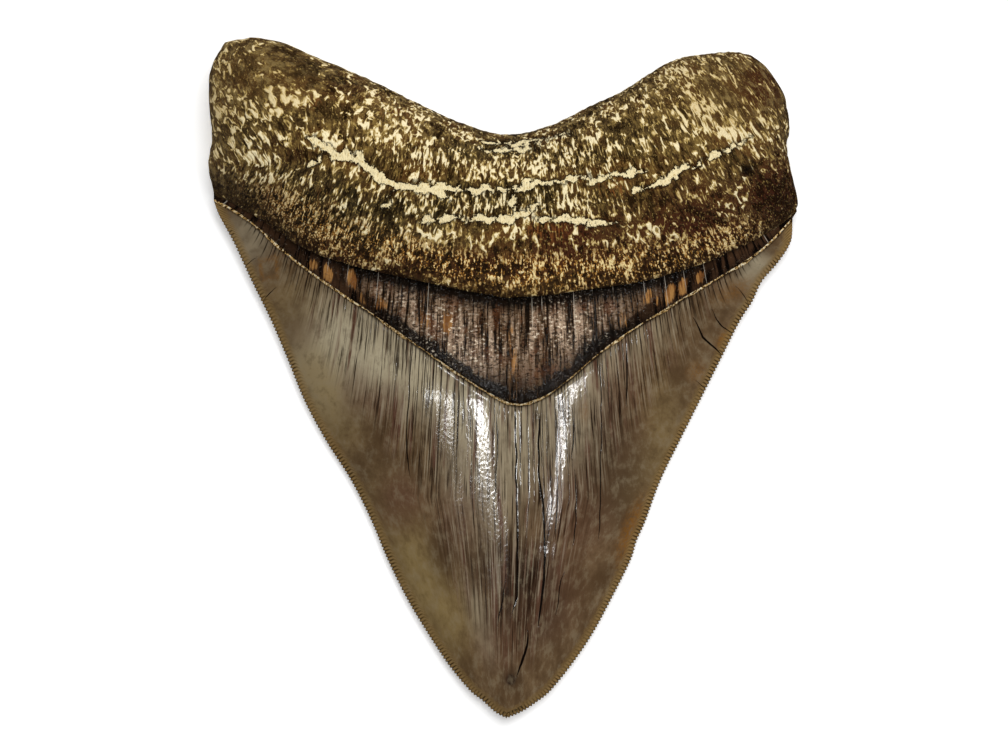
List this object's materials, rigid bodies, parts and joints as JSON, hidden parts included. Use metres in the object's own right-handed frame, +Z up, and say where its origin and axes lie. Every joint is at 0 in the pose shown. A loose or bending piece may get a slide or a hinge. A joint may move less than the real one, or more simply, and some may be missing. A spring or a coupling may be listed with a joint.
{
  "type": "fossil megalodon tooth",
  "caption": "Large triangular fossil shark tooth with serrated cutting edges, a dark neck band and a two-lobed bony root, lying flat side down.",
  "frame": {"origin": "centre of the footprint, on the surface the tooth lies on", "axes": "-Y towards the tip, +Y towards the root, +X across to the right lobe as seen from above, +Z up out of the domed lingual face"},
  "size_m": [0.1116, 0.1292, 0.0279],
  "materials": {
    "tooth": "satin"
  },
  "bodies": {
    "root": {"megalodon_tooth": "tooth"}
  },
  "joints": []
}
